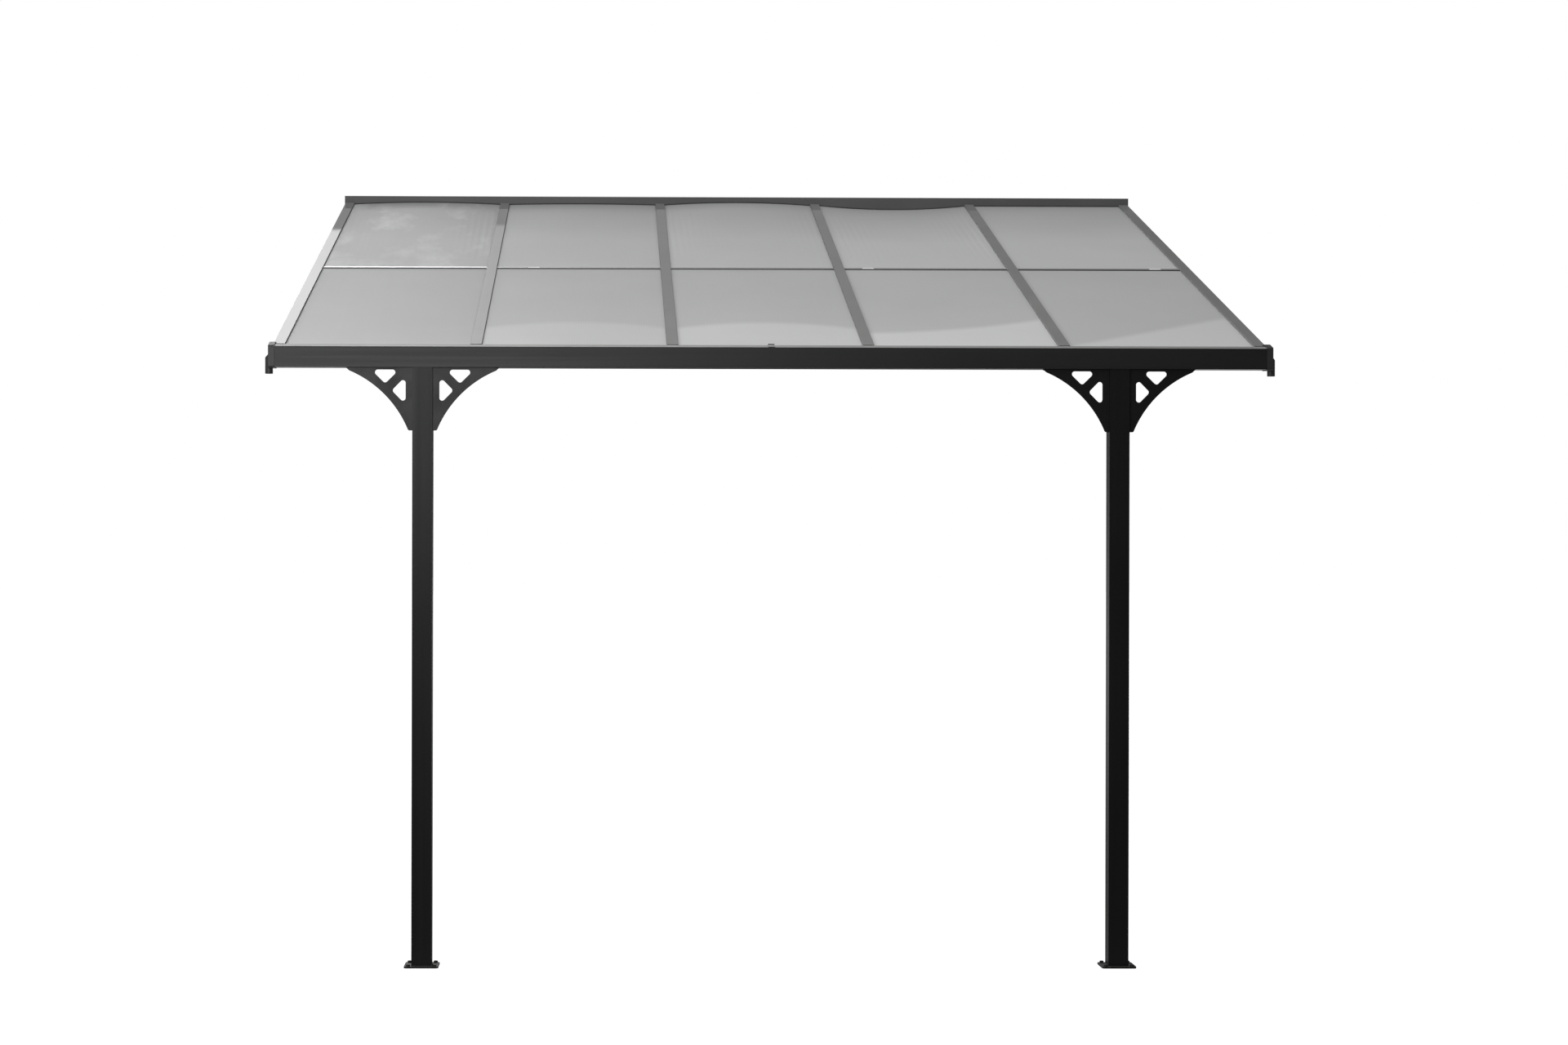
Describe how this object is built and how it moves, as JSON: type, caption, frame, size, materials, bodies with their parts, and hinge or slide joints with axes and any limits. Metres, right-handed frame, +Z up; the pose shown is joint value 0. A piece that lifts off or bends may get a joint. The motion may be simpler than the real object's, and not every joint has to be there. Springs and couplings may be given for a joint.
{
  "type": "patio cover",
  "caption": "Wall-mounted patio cover with a sloping translucent sheet roof on rafters, a front gutter beam and square posts with arched corner brackets.",
  "frame": {"origin": "centre of the wall ledger's flat back face", "axes": "+X along the wall, +Y into the wall, so that the roof reaches towards -Y, and +Z up"},
  "size_m": [3.6292, 3.0215, 3.0864],
  "materials": {
    "coated_aluminium": "dark grey satin powder coat",
    "coated_steel": "dark grey satin powder coat",
    "dark_plastic": "moulded, fine grain",
    "roof_sheet": "grey translucent polycarbonate",
    "clip_plastic": "white moulded"
  },
  "bodies": {
    "root": {"wall_ledger": "coated_aluminium", "ledger_end_caps": "dark_plastic", "rafter_1": "coated_aluminium", "rafter_2": "coated_aluminium", "rafter_3": "coated_aluminium", "rafter_4": "coated_aluminium", "rafter_5": "coated_aluminium", "rafter_6": "coated_aluminium", "rafter_cap_1": "coated_aluminium", "rafter_cap_2": "coated_aluminium", "rafter_cap_3": "coated_aluminium", "rafter_cap_4": "coated_aluminium", "rafter_cap_5": "coated_aluminium", "rafter_cap_6": "coated_aluminium", "sheet_upper_1": "roof_sheet", "sheet_upper_2": "roof_sheet", "sheet_upper_3": "roof_sheet", "sheet_upper_4": "roof_sheet", "sheet_upper_5": "roof_sheet", "sheet_lower_1": "roof_sheet", "sheet_lower_2": "roof_sheet", "sheet_lower_3": "roof_sheet", "sheet_lower_4": "roof_sheet", "sheet_lower_5": "roof_sheet", "sheet_joints": "coated_aluminium", "joint_clips": "clip_plastic", "sheet_end_trims": "coated_aluminium", "rafter_end_plugs": "dark_plastic", "gutter_left": "coated_aluminium", "gutter_right": "coated_aluminium", "gutter_splice": "coated_aluminium", "gutter_end_left": "dark_plastic", "gutter_end_right": "dark_plastic", "spout_left": "dark_plastic", "spout_right": "dark_plastic", "post_left": "coated_aluminium", "post_right": "coated_aluminium", "post_head_left": "coated_steel", "post_head_right": "coated_steel", "bracket_left_outer": "coated_steel", "bracket_left_inner": "coated_steel", "bracket_right_inner": "coated_steel", "bracket_right_outer": "coated_steel", "base_plate_left": "coated_steel", "base_plate_right": "coated_steel"}
  },
  "joints": []
}
